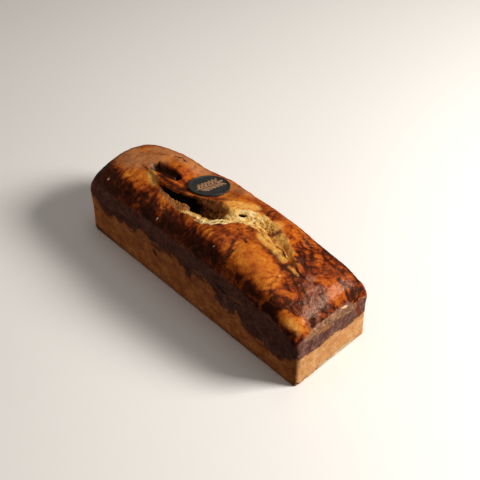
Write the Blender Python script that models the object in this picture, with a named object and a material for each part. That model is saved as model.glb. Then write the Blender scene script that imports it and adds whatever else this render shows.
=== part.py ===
"""A marble loaf cake, nearly 29 cm long, with a round plaque resting beside its crack.

The loaf stands on its flat base. +X points to its squarer end, +Z up, and the origin is the
centre of the base. It is one closed solid: four tin-straight walls that flare to a rim, and a
risen crown above the rim. A gash runs along the crown, and the plaque lies on the crown beside
the widest part of the gash.
"""

import math

import bmesh
import bpy
from mathutils import Matrix, Vector

MM = 0.001

# The tin-shaped body.
BASE_LENGTH = 282 * MM
BASE_WIDTH = 86 * MM
RIM_LENGTH = 286 * MM
RIM_WIDTH = 88 * MM
RIM_HEIGHT = 46 * MM
BASE_CORNER = {"far": 13 * MM, "near": 3.5 * MM}
RIM_CORNER = {"far": 18 * MM, "near": 6 * MM}
BASE_ROUNDING = 1.0 * MM

# The crown: its rise above the rim along X, and how square its cross-section is.
CROWN_RISE = (
    (-143, 0), (-138, 17), (-130, 26), (-110, 32.5), (-75, 39), (-35, 41.5), (10, 45.5),
    (60, 42), (100, 34.5), (122, 28), (134, 21), (140, 12.5), (142.5, 7), (143, 0),
)
CROWN_SQUARENESS = ((-130, 2.05), (-90, 2.8), (-35, 3.05), (10, 3.4), (60, 3.7), (110, 3.7))
FRONT_SINK = ((-101, 0), (-67, 3), (-24, 6), (9, 4), (32, 0.5), (52, 0))
LUMP_HEIGHT = 0.8 * MM

# The gash in the crown: the lines of its two lips and its depth, along X.
GASH_LIP = {
    "front": (
        (-112, -5), (-81, -9.5), (-71, -13), (-63.5, -16.5), (-57.5, -18.5), (-50.5, -21),
        (-40, -23), (-30, -24.5), (-19.5, -24.5), (-11, -23), (-3, -23), (5, -23), (12, -22),
        (20, -14.5), (27, -10), (33, -4), (40, -0.5), (47, 1), (55, 1.5), (65.5, -2.5), (77.5, 1),
        (89, -2), (102.5, -3), (115.5, -4.5),
    ),
    "back": (
        (-112, -3), (-81, -7), (-71, -9.5), (-62.5, -12), (-53, -13), (-43, -12), (-33, -9),
        (-25, -5.5), (-17, -2), (-8, 1.5), (4.5, 3.5), (14.5, 3), (22, 5), (30, 13), (43, 18),
        (59, 18.5), (69, 16), (81, 12), (95, 3), (106, -1), (115.5, -1.5),
    ),
}
GASH_DEPTH = (
    (-73, 0), (-64.5, 3), (-56.5, 7), (-50, 12), (-44, 16), (-37.5, 20), (-21, 24), (-6.5, 22),
    (6, 17), (15.5, 9), (22, 4), (37.5, 3.5), (53.5, 3.5), (65.5, 4.5), (79, 5.5), (93, 4),
    (104.5, 1.5), (113.5, 0),
)
LEDGE_END = -8 * MM
LEDGE_FADE = 14 * MM
LIP_RISE = 1.2 * MM
LIP_WIDTH = 7 * MM

# The shallow hollow beyond the gash's far end, along the line between two points of the crown.
HOLLOW_ENDS = (Vector((-81.5 * MM, 0)), Vector((-57.5 * MM, 2 * MM)))
HOLLOW_RADIUS = 7.5 * MM
HOLLOW_DEPTH = 6.5 * MM

# The plaque: a thin round tile with a raised rim, tilted towards +Y.
PLAQUE_RADIUS = 19 * MM
PLAQUE_THICKNESS = 1.6 * MM
PLAQUE_RIM_WIDTH = 1.4 * MM
PLAQUE_RIM_HEIGHT = 0.4 * MM
PLAQUE_CENTRE = Vector((-25.4 * MM, 15.4 * MM, 85 * MM))
PLAQUE_TILT = math.radians(13.5)
PLAQUE_TILT_DIRECTION = math.radians(123)
PLAQUE_BED_RADIUS = 38 * MM
CLEARANCE = 0.3 * MM

# How finely the solids are cut into faces.
FAR_ARC_CELLS = 7
MIDDLE_CELLS = 62
NEAR_ARC_CELLS = 4
COLUMNS = FAR_ARC_CELLS + MIDDLE_CELLS + NEAR_ARC_CELLS
FRONT_CELLS = 12
GASH_CELLS = 10
BACK_CELLS = 12
ROWS = FRONT_CELLS + GASH_CELLS + BACK_CELLS
PLAQUE_SEGMENTS = 48


def through(stations, x):
    """A smooth curve through (millimetre, value) stations, level beyond the first and last."""
    x = min(max(x / MM, stations[0][0]), stations[-1][0])
    last = len(stations) - 1
    k = max(i for i in range(last) if stations[i][0] <= x)

    def slope(i):
        low, high = stations[max(i - 1, 0)], stations[min(i + 1, last)]
        return (high[1] - low[1]) / (high[0] - low[0])

    (x0, v0), (x1, v1) = stations[k], stations[k + 1]
    span = x1 - x0
    t = (x - x0) / span
    return (
        v0 * (1 + 2 * t) * (1 - t) ** 2
        + v1 * t * t * (3 - 2 * t)
        + slope(k) * span * t * (1 - t) ** 2
        - slope(k + 1) * span * t * t * (1 - t)
    )


def smooth(t):
    """0 below t = 0, 1 above t = 1, with a soft step between."""
    t = min(max(t, 0.0), 1.0)
    return t * t * (3 - 2 * t)


def column_x(i, length, corner):
    """X of grid column i, with the columns at each end spread evenly round the corner arcs."""
    far, near = corner["far"], corner["near"]
    if i < FAR_ARC_CELLS:
        return far * (1 - math.cos(math.pi / 2 * i / FAR_ARC_CELLS)) - length / 2
    if i > FAR_ARC_CELLS + MIDDLE_CELLS:
        turn = math.pi / 2 * (COLUMNS - i) / NEAR_ARC_CELLS
        return length / 2 - near * (1 - math.cos(turn))
    start, end = far - length / 2, length / 2 - near
    return start + (end - start) * (i - FAR_ARC_CELLS) / MIDDLE_CELLS


def half_width(x, length, width, corner):
    """Half the outline's width at x: full along the middle, drawn in round the corners."""
    radius = corner["far"] if x < 0 else corner["near"]
    past = max(abs(x) - (length / 2 - radius), 0.0)
    return width / 2 - radius + math.sqrt(max(radius**2 - past**2, 0.0))


def lips(x):
    """Y of the gash's front and back lips."""
    return through(GASH_LIP["front"], x) * MM, through(GASH_LIP["back"], x) * MM


def row_y(x, j, half):
    """Y of grid row j: rows crowd towards the walls and follow both lips of the gash."""
    front, back = lips(x)
    if j < FRONT_CELLS:
        return -half + (front + half) * (1 - math.cos(math.pi / 2 * j / FRONT_CELLS))
    if j <= FRONT_CELLS + GASH_CELLS:
        return front + (back - front) * (j - FRONT_CELLS) / GASH_CELLS
    turn = math.pi / 2 * (ROWS - j) / BACK_CELLS
    return half + (back - half) * (1 - math.cos(turn))


def gash_profile(x, across, depth):
    """Share of the depth at across, from -1 at the front lip to 1 at the back lip.

    The far half has a broad, nearly level ledge in front of a narrow, deep drop. The near half
    drops behind a short ledge and rises slowly to the back lip.
    """
    ledge = smooth((LEDGE_END - x) / LEDGE_FADE)
    steep = 0.07 * smooth((across + 1) / 0.4) + 0.93 * smooth((across + 0.62) / 0.42)
    shelf = 0.1 * smooth((across + 1) / 0.9) + 0.9 * smooth((across + 0.15) / 0.4)
    front = steep + ledge * (shelf - steep)
    back_reach = 1.75 - 0.65 * smooth(depth / (12 * MM)) - 0.7 * ledge
    return front * smooth((1 - across) / back_reach)


def hollow(x, y):
    """Depth of the shallow hollow at (x, y)."""
    start, end = HOLLOW_ENDS
    place = Vector((x, y))
    along = end - start
    share = min(max((place - start).dot(along) / along.length_squared, 0.0), 1.0)
    away = (place - start - share * along).length
    return HOLLOW_DEPTH * smooth(1.3 * (1 - away / HOLLOW_RADIUS))


def lumps(x, y):
    """The slow unevenness of a risen crown, between -1 and 1."""
    x, y = x / MM, y / MM
    return (
        0.5 * math.sin(x / 11.3 + y / 17 + 1.1)
        + 0.3 * math.sin(x / 6.1 - y / 8.7)
        + 0.2 * math.sin(x / 19 - y / 5.3 + 2.0)
    )


def plaque_axes():
    """The plaque's centre and the unit direction that its top faces."""
    tilt = PLAQUE_TILT
    towards = PLAQUE_TILT_DIRECTION
    normal = Vector((
        math.sin(tilt) * math.cos(towards),
        math.sin(tilt) * math.sin(towards),
        math.cos(tilt),
    ))
    return PLAQUE_CENTRE, normal


def plaque_bed(x, y):
    """Height of the plane that the plaque's underside lies in, and the distance from its axis."""
    centre, normal = plaque_axes()
    dx, dy = x - centre.x, y - centre.y
    height = centre.z - (normal.x * dx + normal.y * dy) / normal.z
    return height - (PLAQUE_THICKNESS + CLEARANCE) / normal.z, math.hypot(dx, dy)


def crown_height(x, y, half):
    """Height of the crown at (x, y), where half is the rim's half width there."""
    rise = through(CROWN_RISE, x) * MM
    square = through(CROWN_SQUARENESS, x)
    section = max(1 - min(abs(y) / half, 1.0) ** square, 0.0) ** (1 / square)
    front, back = lips(x)
    lean = smooth((y + half) / (front + half)) * smooth((back - y) / (back - front))
    height = RIM_HEIGHT + rise * section - through(FRONT_SINK, x) * MM * lean
    inside = smooth((1 - abs(x) * 2 / RIM_LENGTH) / 0.06) * smooth((1 - abs(y) / half) / 0.12)
    height += LUMP_HEIGHT * inside * lumps(x, y)

    depth = through(GASH_DEPTH, x) * MM
    outside = max(front - y, y - back, 0.0)
    height += LIP_RISE * smooth(depth / (6 * MM)) * math.exp(-((outside / LIP_WIDTH) ** 2))

    bed, distance = plaque_bed(x, y)
    blend = smooth((PLAQUE_BED_RADIUS - distance) / (PLAQUE_BED_RADIUS - 1.05 * PLAQUE_RADIUS))
    height += blend * (bed - height)

    across = 2 * (y - front) / (back - front) - 1
    if abs(across) < 1:
        height -= depth * gash_profile(x, across, depth)
    return height - hollow(x, y)


def rim_loop():
    """(column, row) of each grid point round the edge of the crown, in order."""
    loop = [(i, 0) for i in range(COLUMNS)]
    loop += [(COLUMNS, j) for j in range(ROWS)]
    loop += [(i, ROWS) for i in range(COLUMNS, 0, -1)]
    loop += [(0, j) for j in range(ROWS, 0, -1)]
    return loop


def outline_point(i, j, length, width, corner):
    """Point (column, row) laid flat in an outline of the given size."""
    x = column_x(i, length, corner)
    half = half_width(x, length, width, corner)
    return Vector((x, row_y(x, j, half), 0.0)), half


def wall_levels():
    """(height, inset) of each ring of the walls below the rim, from the top down."""
    levels = [(RIM_HEIGHT * share, 0.0) for share in (0.7, 0.4, 0.15)]
    for turn in (math.radians(15), math.radians(45), math.radians(75)):
        levels.append((BASE_ROUNDING * (1 - math.sin(turn)), BASE_ROUNDING * (1 - math.cos(turn))))
    levels.append((0.0, BASE_ROUNDING))
    return levels


def wall_ring(height, inset):
    """The points of one ring round the walls."""
    points = []
    length, width = BASE_LENGTH - 2 * inset, BASE_WIDTH - 2 * inset
    for i, j in rim_loop():
        top, _ = outline_point(i, j, RIM_LENGTH, RIM_WIDTH, RIM_CORNER)
        foot, _ = outline_point(i, j, length, width, BASE_CORNER)
        point = foot.lerp(top, height / RIM_HEIGHT)
        point.z = height
        points.append(point)
    return points


def make_cake():
    """The loaf: a grid for the crown, rings for the walls and one flat face for the base."""
    mesh = bmesh.new()
    grid = {}
    for i in range(COLUMNS + 1):
        for j in range(ROWS + 1):
            point, half = outline_point(i, j, RIM_LENGTH, RIM_WIDTH, RIM_CORNER)
            edge = i in (0, COLUMNS) or j in (0, ROWS)
            point.z = RIM_HEIGHT if edge else crown_height(point.x, point.y, half)
            grid[i, j] = mesh.verts.new(point)
    for i in range(COLUMNS):
        for j in range(ROWS):
            mesh.faces.new((grid[i, j], grid[i + 1, j], grid[i + 1, j + 1], grid[i, j + 1]))

    upper = [grid[key] for key in rim_loop()]
    for height, inset in wall_levels():
        lower = [mesh.verts.new(point) for point in wall_ring(height, inset)]
        for k in range(len(upper)):
            following = (k + 1) % len(upper)
            mesh.faces.new((upper[k], lower[k], lower[following], upper[following]))
        upper = lower
    mesh.faces.new(reversed(upper))
    bmesh.ops.recalc_face_normals(mesh, faces=mesh.faces)
    return finish_object("cake", mesh, material("baked_crumb", (0.55, 0.24, 0.06), 0.5))


def make_plaque():
    """The plaque: a turned disc whose raised rim stands around a flat field."""
    inner = PLAQUE_RADIUS - PLAQUE_RIM_WIDTH
    bevel = PLAQUE_RIM_HEIGHT / 2
    rim_top = PLAQUE_RIM_HEIGHT
    profile = (
        (0.0, -PLAQUE_THICKNESS), (PLAQUE_RADIUS - bevel, -PLAQUE_THICKNESS),
        (PLAQUE_RADIUS, bevel - PLAQUE_THICKNESS), (PLAQUE_RADIUS, rim_top - bevel),
        (PLAQUE_RADIUS - bevel, rim_top), (inner, rim_top), (inner - bevel, 0.0), (0.0, 0.0),
    )
    mesh = bmesh.new()
    points = [mesh.verts.new((radius, 0.0, z)) for radius, z in profile]
    edges = [mesh.edges.new(pair) for pair in zip(points, points[1:])]
    bmesh.ops.spin(
        mesh, geom=points + edges, cent=(0, 0, 0), axis=(0, 0, 1),
        angle=2 * math.pi, steps=PLAQUE_SEGMENTS, use_duplicate=False,
    )
    bmesh.ops.remove_doubles(mesh, verts=mesh.verts, dist=0.01 * MM)
    bmesh.ops.recalc_face_normals(mesh, faces=mesh.faces)
    plaque = finish_object("plaque", mesh, material("dark_plaque", (0.035, 0.04, 0.045), 0.35))
    centre, normal = plaque_axes()
    turn = Vector((0, 0, 1)).rotation_difference(normal)
    plaque.matrix_world = Matrix.Translation(centre) @ turn.to_matrix().to_4x4()
    return plaque


def material(name, colour, roughness):
    """A plain Principled material."""
    made = bpy.data.materials.new(name)
    made.use_nodes = True
    shader = made.node_tree.nodes["Principled BSDF"]
    shader.inputs["Base Color"].default_value = (*colour, 1.0)
    shader.inputs["Roughness"].default_value = roughness
    shader.inputs["Metallic"].default_value = 0.0
    made.diffuse_color = (*colour, 1.0)
    return made


def finish_object(name, mesh, look):
    """Put a bmesh into the scene as a smooth-shaded object."""
    data = bpy.data.meshes.new(name)
    mesh.to_mesh(data)
    mesh.free()
    data.materials.append(look)
    data.shade_smooth()
    data.set_sharp_from_angle(angle=math.radians(35))
    made = bpy.data.objects.new(name, data)
    bpy.context.scene.collection.objects.link(made)
    return made


def main():
    for old in list(bpy.data.objects):
        bpy.data.objects.remove(old, do_unlink=True)
    make_cake()
    make_plaque()


main()
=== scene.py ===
"""The looks of a marble loaf cake: baked crust, torn crumb, cocoa marbling and a round plaque.

Lengths are millimetres up to the point where a mesh is made, and the axes are the frame's own:
+X is the loaf's squarer end, the camera stands towards +X and -Y, and the base is at Z = 0.
"""

import math

import bpy
import numpy as np
from mathutils import Matrix, Vector


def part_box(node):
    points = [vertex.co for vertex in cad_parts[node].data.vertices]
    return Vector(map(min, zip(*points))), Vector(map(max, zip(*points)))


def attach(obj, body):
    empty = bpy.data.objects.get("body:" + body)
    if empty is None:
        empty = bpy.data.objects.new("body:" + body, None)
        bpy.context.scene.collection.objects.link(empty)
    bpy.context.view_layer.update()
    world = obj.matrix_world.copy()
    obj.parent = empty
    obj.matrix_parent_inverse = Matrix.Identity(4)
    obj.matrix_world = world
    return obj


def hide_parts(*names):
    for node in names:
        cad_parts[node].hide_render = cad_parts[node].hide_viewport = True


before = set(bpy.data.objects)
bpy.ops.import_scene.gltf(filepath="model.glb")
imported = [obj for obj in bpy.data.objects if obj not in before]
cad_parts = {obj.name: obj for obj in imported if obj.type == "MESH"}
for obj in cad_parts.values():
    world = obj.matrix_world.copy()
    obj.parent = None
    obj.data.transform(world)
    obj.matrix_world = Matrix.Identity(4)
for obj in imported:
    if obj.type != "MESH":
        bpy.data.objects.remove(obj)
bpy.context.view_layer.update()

MM = 0.001
CAKE_LOW, CAKE_HIGH = (np.array(corner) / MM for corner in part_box("cake"))
PLAQUE_LOW, PLAQUE_HIGH = (np.array(corner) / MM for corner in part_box("plaque"))

# ---------------------------------------------------------------------------------------------
# Shape of the loaf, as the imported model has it
# ---------------------------------------------------------------------------------------------

RIM_LENGTH = CAKE_HIGH[0] - CAKE_LOW[0]
RIM_WIDTH = CAKE_HIGH[1] - CAKE_LOW[1]
CAKE_TOP = CAKE_HIGH[2]
RIM_HEIGHT = 46
BASE_LENGTH = RIM_LENGTH - 4
BASE_WIDTH = RIM_WIDTH - 2
BASE_CORNER = {"far": 13, "near": 3.5}
RIM_CORNER = {"far": 18, "near": 6}
BASE_ROUNDING = 1.0

CROWN_RISE = (
    (-143, 0), (-138, 17), (-130, 26), (-110, 32.5), (-75, 39), (-35, 41.5), (10, 45.5),
    (60, 42), (100, 34.5), (122, 28), (134, 21), (140, 12.5), (142.5, 7), (143, 0),
)
CROWN_SQUARENESS = ((-130, 2.05), (-90, 2.8), (-35, 3.05), (10, 3.4), (60, 3.7), (110, 3.7))
FRONT_SINK = ((-101, 0), (-67, 3), (-24, 6), (9, 4), (32, 0.5), (52, 0))
LUMP_HEIGHT = 0.8
GASH_FRONT = (
    (-112, -5), (-81, -9.5), (-71, -13), (-63.5, -16.5), (-57.5, -18.5), (-50.5, -21), (-40, -23),
    (-30, -24.5), (-19.5, -24.5), (-11, -23), (-3, -23), (5, -23), (12, -22), (20, -14.5),
    (27, -10), (33, -4), (40, -0.5), (47, 1), (55, 1.5), (65.5, -2.5), (77.5, 1), (89, -2),
    (102.5, -3), (115.5, -4.5),
)
GASH_BACK = (
    (-112, -3), (-81, -7), (-71, -9.5), (-62.5, -12), (-53, -13), (-43, -12), (-33, -9),
    (-25, -5.5), (-17, -2), (-8, 1.5), (4.5, 3.5), (14.5, 3), (22, 5), (30, 13), (43, 18), (59, 18.5),
    (69, 16), (81, 12), (95, 3), (106, -1), (115.5, -1.5),
)
GASH_DEPTH = (
    (-73, 0), (-64.5, 3), (-56.5, 7), (-50, 12), (-44, 16), (-37.5, 20), (-21, 24), (-6.5, 22),
    (6, 17), (15.5, 9), (22, 4), (37.5, 3.5), (53.5, 3.5), (65.5, 4.5), (79, 5.5), (93, 4),
    (104.5, 1.5), (113.5, 0),
)
LEDGE_END = -8
LEDGE_FADE = 14
LIP_RISE = 1.2
LIP_WIDTH = 7
HOLLOW_LINE = ((-81.5, 0), (-57.5, 2))
HOLLOW_RADIUS = 7.5
HOLLOW_DEPTH = 6.5

PLAQUE_RADIUS = 19
PLAQUE_THICKNESS = 1.6
PLAQUE_RIM_WIDTH = 1.4
PLAQUE_RIM_HEIGHT = 0.4
PLAQUE_TILT = math.radians(13.5)
PLAQUE_TILT_DIRECTION = math.radians(123)
PLAQUE_NORMAL = np.array((
    math.sin(PLAQUE_TILT) * math.cos(PLAQUE_TILT_DIRECTION),
    math.sin(PLAQUE_TILT) * math.sin(PLAQUE_TILT_DIRECTION),
    math.cos(PLAQUE_TILT),
))
PLAQUE_CENTRE = (PLAQUE_LOW + PLAQUE_HIGH) / 2 + PLAQUE_NORMAL * (
    PLAQUE_THICKNESS - PLAQUE_RIM_HEIGHT
) / 2
PLAQUE_BED_RADIUS = 38
CLEARANCE = 0.3

# How finely the loaf is cut.
COLUMNS = 350
FRONT_ROWS = 52
GASH_ROWS = 46
BACK_ROWS = 48
ROWS = FRONT_ROWS + GASH_ROWS + BACK_ROWS
WALL_RINGS = 32
FOOT_RINGS = 5
BASE_RINGS = 3

# ---------------------------------------------------------------------------------------------
# Curves and noise
# ---------------------------------------------------------------------------------------------


def through(stations, at):
    """A smooth curve through (place, value) stations, level beyond the first and last."""
    place, value = np.array(stations, float).T
    slope = np.gradient(value)
    slope[1:-1] = (value[2:] - value[:-2]) / (place[2:] - place[:-2])
    slope[0] = (value[1] - value[0]) / (place[1] - place[0])
    slope[-1] = (value[-1] - value[-2]) / (place[-1] - place[-2])
    at = np.clip(at, place[0], place[-1])
    k = np.clip(np.searchsorted(place, at, side="right") - 1, 0, len(place) - 2)
    span = place[k + 1] - place[k]
    t = (at - place[k]) / span
    return (
        value[k] * (1 + 2 * t) * (1 - t) ** 2
        + value[k + 1] * t * t * (3 - 2 * t)
        + slope[k] * span * t * (1 - t) ** 2
        - slope[k + 1] * span * t * t * (1 - t)
    )


def smooth(t):
    """0 below t = 0, 1 above t = 1, with a soft step between."""
    t = np.clip(t, 0.0, 1.0)
    return t * t * (3 - 2 * t)


def hashed(cell, seed):
    """A repeatable whole number below 2**32 for each integer cell (x, y, z)."""
    mask = 0xFFFFFFFF
    h = cell[..., 0] * 374761393 + cell[..., 1] * 668265263 + cell[..., 2] * 1274126177
    h = (h + seed * 974711 + 12345) & mask
    for shift, factor in ((15, 2246822519), (13, 3266489917), (16, 668265263)):
        h = ((h ^ (h >> shift)) * factor) & mask
    return h


def hashed_vector(cell, seed):
    """Three repeatable numbers between -1 and 1 for each integer cell."""
    h = hashed(cell, seed)
    return np.stack([(h & 1023), (h >> 10) & 1023, (h >> 20) & 1023], -1) / 511.5 - 1


def noise(points, size, seed, octaves=1):
    """Gradient noise between about -1 and 1, with features of the given size."""
    total = np.zeros(points.shape[:-1])
    for octave in range(octaves):
        place = points / np.array(size) * 2**octave
        cell = np.floor(place).astype(np.int64)
        part = place - cell
        fade = part**3 * (part * (part * 6 - 15) + 10)
        value = np.zeros(points.shape[:-1])
        for corner in np.ndindex(2, 2, 2):
            corner = np.array(corner)
            weight = np.where(corner, fade, 1 - fade).prod(-1)
            value += weight * (hashed_vector(cell + corner, seed + octave) * (part - corner)).sum(-1)
        total += value * 1.6 * 0.5**octave
    return total


def ridges(points, size, seed, thin):
    """1 along the wandering lines where a noise is nought, fading out within a thin share."""
    return smooth(1 - np.abs(noise(points, size, seed)) / thin)


def pores(points, spacing, radius, share, seed):
    """1 in the middle of scattered round pores and 0 outside them."""
    place = points / spacing
    cell = np.floor(place).astype(np.int64)
    found = np.zeros(len(points))
    for step in np.ndindex(3, 3, 3):
        here = cell + np.array(step) - 1
        middle = here + 0.5 + 0.5 * hashed_vector(here, seed)
        luck = hashed(here, seed + 7) / 2**32
        size = radius / spacing * (0.45 + 0.55 * luck / share)
        away = np.linalg.norm(place - middle, axis=-1) / size
        found = np.maximum(found, np.where(luck < share, smooth(1.6 * (1 - away)), 0))
    return found


def distance_to_line(points, line):
    """Distance from each 2-D point to a line through 2-D points."""
    line = np.array(line, float)
    best = np.full(points.shape[:-1], np.inf)
    for start, end in zip(line, line[1:]):
        along = end - start
        t = np.clip(((points - start) @ along) / (along @ along), 0, 1)
        best = np.minimum(best, np.linalg.norm(points - start - t[..., None] * along, axis=-1))
    return best


def mark(points, line, width, softness=0.5):
    """1 along a line of the given half width, fading out over the softness share of it."""
    away = distance_to_line(points, line) / width
    return smooth((1 - away) / softness)


def painted(points, marks, softness):
    """The strongest of several (line, half width, strength) marks at each 2-D point."""
    found = np.zeros(len(points))
    for line, width, strength in marks:
        found = np.maximum(found, strength * mark(points, line, width, softness))
    return found


# ---------------------------------------------------------------------------------------------
# The loaf's surface
# ---------------------------------------------------------------------------------------------


def half_width(x, length, width, corner):
    """Half the outline's width at x: full along the middle, drawn in round the corners."""
    radius = np.where(x < 0, corner["far"], corner["near"])
    past = np.maximum(np.abs(x) - (length / 2 - radius), 0.0)
    return width / 2 - radius + np.sqrt(np.maximum(radius**2 - past**2, 0.0))


def lips(x):
    """Y of the gash's front and back lips, torn unevenly where the gash is deep."""
    line = np.stack([x, np.zeros_like(x), np.zeros_like(x)], -1)
    torn = smooth(through(GASH_DEPTH, x) / 5)
    front = through(GASH_FRONT, x) + torn * (0.9 * noise(line, 6, 11) + 0.8 * noise(line, 2.4, 12))
    back = through(GASH_BACK, x) + torn * (1.0 * noise(line, 7, 13) + 0.7 * noise(line, 2.6, 14))
    return front, np.maximum(back, front + 1.5)


def gash_profile(x, across, depth):
    """Share of the depth at across, from -1 at the front lip to 1 at the back lip.

    The far half has a broad ledge of torn crumb in front of a narrow, deep drop. The near half
    drops straight behind the front lip and rises slowly to the back one.
    """
    ledge = smooth((LEDGE_END - x) / LEDGE_FADE)
    steep = 0.07 * smooth((across + 1) / 0.4) + 0.93 * smooth((across + 0.62) / 0.42)
    shelf = 0.1 * smooth((across + 1) / 0.9) + 0.9 * smooth((across + 0.15) / 0.4)
    front = steep + ledge * (shelf - steep)
    back_reach = 1.75 - 0.65 * smooth(depth / 12) - 0.7 * ledge
    return front * smooth((1 - across) / back_reach)


def gash_sink(x, y):
    """How far the gash sinks the crown at (x, y), and the place across it from -1 to 1."""
    front, back = lips(x)
    depth = through(GASH_DEPTH, x)
    across = np.clip(2 * (y - front) / (back - front) - 1, -1, 1)
    return depth * gash_profile(x, across, depth), across


def hollow(x, y):
    """Depth of the shallow hollow beyond the gash's far end."""
    place = np.stack(np.broadcast_arrays(x, y), -1)
    away = distance_to_line(place, HOLLOW_LINE)
    return HOLLOW_DEPTH * smooth(1.3 * (1 - away / HOLLOW_RADIUS))


def lumps(x, y):
    """The slow unevenness of a risen crown, between -1 and 1."""
    return (
        0.5 * np.sin(x / 11.3 + y / 17 + 1.1)
        + 0.3 * np.sin(x / 6.1 - y / 8.7)
        + 0.2 * np.sin(x / 19 - y / 5.3 + 2.0)
    )


def crown_height(x, y, half):
    """Height of the crown at (x, y), where half is the rim's half width there."""
    square = through(CROWN_SQUARENESS, x)
    section = np.maximum(1 - np.minimum(np.abs(y) / half, 1.0) ** square, 0.0) ** (1 / square)
    front, back = lips(x)
    lean = smooth((y + half) / (front + half)) * smooth((back - y) / (back - front))
    height = RIM_HEIGHT + through(CROWN_RISE, x) * section - through(FRONT_SINK, x) * lean
    inside = smooth((1 - np.abs(x) * 2 / RIM_LENGTH) / 0.06) * smooth((1 - np.abs(y) / half) / 0.12)
    height += LUMP_HEIGHT * inside * lumps(x, y)

    outside = np.maximum(np.maximum(front - y, y - back), 0.0)
    depth = through(GASH_DEPTH, x)
    height += LIP_RISE * smooth(depth / 6) * np.exp(-((outside / LIP_WIDTH) ** 2))

    dx, dy = x - PLAQUE_CENTRE[0], y - PLAQUE_CENTRE[1]
    normal = PLAQUE_NORMAL
    bed = PLAQUE_CENTRE[2] - (normal[0] * dx + normal[1] * dy) / normal[2]
    bed -= (PLAQUE_THICKNESS + CLEARANCE) / normal[2]
    flat_radius = 1.05 * PLAQUE_RADIUS
    blend = smooth((PLAQUE_BED_RADIUS - np.hypot(dx, dy)) / (PLAQUE_BED_RADIUS - flat_radius))
    height += blend * (bed - height)
    return height - gash_sink(x, y)[0] - hollow(x, y)


def crown_columns():
    """X of each column, evenly spaced over the rise of the crown and round the corners."""
    x = np.sin(np.linspace(-math.pi / 2, math.pi / 2, 8001)) * RIM_LENGTH / 2
    crest = through(CROWN_RISE, x)
    half = half_width(x, RIM_LENGTH, RIM_WIDTH, RIM_CORNER)
    step = np.sqrt(np.diff(x) ** 2 + np.diff(crest) ** 2 + np.diff(half) ** 2)
    reach = np.concatenate([[0], np.cumsum(step)])
    return np.interp(np.linspace(0, reach[-1], COLUMNS + 1), reach, x)


def crown_grid():
    """The crown's points as an array (column, row, xyz), evenly spaced along each column."""
    x = crown_columns()
    half = half_width(x, RIM_LENGTH, RIM_WIDTH, RIM_CORNER)
    front, back = lips(x)
    rise = np.linspace(0, 1, 320) ** 5
    level = np.linspace(0, 1, 120)
    parts = (
        (-half[:, None] + (front + half)[:, None] * rise, FRONT_ROWS),
        (front[:, None] + (back - front)[:, None] * level, GASH_ROWS),
        (half[:, None] + (back - half)[:, None] * rise[::-1], BACK_ROWS),
    )
    rows = []
    for y, count in parts:
        z = crown_height(x[:, None], y, half[:, None])
        step = np.hypot(np.diff(y, axis=1), np.diff(z, axis=1))
        reach = np.concatenate([np.zeros((len(x), 1)), np.cumsum(step, axis=1)], axis=1)
        spread = np.linspace(0, 1, count + 1)
        rows.append(np.stack([np.interp(spread * r[-1], r, line) for r, line in zip(reach, y)]))
    y = np.concatenate([rows[0], rows[1][:, 1:], rows[2][:, 1:]], axis=1)
    y[:, 0], y[:, -1] = -half, half
    z = crown_height(x[:, None], y, half[:, None])
    z[0], z[-1], z[:, 0], z[:, -1] = RIM_HEIGHT, RIM_HEIGHT, RIM_HEIGHT, RIM_HEIGHT
    return np.stack([np.broadcast_to(x[:, None], y.shape), y, z], -1)


def rim_loop():
    """(column, row) of each grid point round the edge of the crown, in order."""
    loop = [(i, 0) for i in range(COLUMNS)]
    loop += [(COLUMNS, j) for j in range(ROWS)]
    loop += [(i, ROWS) for i in range(COLUMNS, 0, -1)]
    loop += [(0, j) for j in range(ROWS, 0, -1)]
    return np.array(loop)


def foot_of(rim, inset):
    """Where each rim point's wall meets the ground, for a base drawn in by the inset."""
    length, width = BASE_LENGTH - 2 * inset, BASE_WIDTH - 2 * inset
    share = np.abs(rim[:, 0])
    x = np.zeros(len(rim))
    for name, side in (("far", -1), ("near", 1)):
        start = RIM_LENGTH / 2 - RIM_CORNER[name]
        base_start = length / 2 - BASE_CORNER[name]
        past = np.clip((share - start) / RIM_CORNER[name], 0, 1)
        there = np.where(share > start, base_start + BASE_CORNER[name] * past, share / start * base_start)
        x = np.where(np.sign(rim[:, 0]) == side, side * there, x)
    half = half_width(rim[:, 0], RIM_LENGTH, RIM_WIDTH, RIM_CORNER)
    base_half = half_width(x, length, width, BASE_CORNER)
    return np.stack([x, rim[:, 1] / half * base_half, np.zeros(len(rim))], -1)


def wall_points(rim):
    """Points (ring, place, xyz) of the walls from the rim down, with a rounded foot."""
    heights = np.linspace(RIM_HEIGHT, BASE_ROUNDING, WALL_RINGS + 1)[1:]
    levels = [(height, 0.0) for height in heights]
    for turn in np.linspace(0, math.pi / 2, FOOT_RINGS + 1)[1:]:
        levels.append((BASE_ROUNDING * (1 - math.sin(turn)), BASE_ROUNDING * (1 - math.cos(turn))))
    rings = []
    for height, inset in levels:
        foot = foot_of(rim, inset)
        point = foot + (rim - foot) * height / RIM_HEIGHT
        point[:, 2] = height
        rings.append(point)
    return np.array(rings)


def base_points(lowest):
    """Points (ring, place, xyz) of the flat base, stepping inwards from the lowest wall ring."""
    rings = []
    for step in range(1, BASE_RINGS + 1):
        rings.append(lowest * np.array((1 - 0.02 * step, 1 - 0.07 * step, 0)))
    return np.array(rings)


# ---------------------------------------------------------------------------------------------
# What is painted where: lines of points, each with its half width and its strength
# ---------------------------------------------------------------------------------------------

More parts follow.
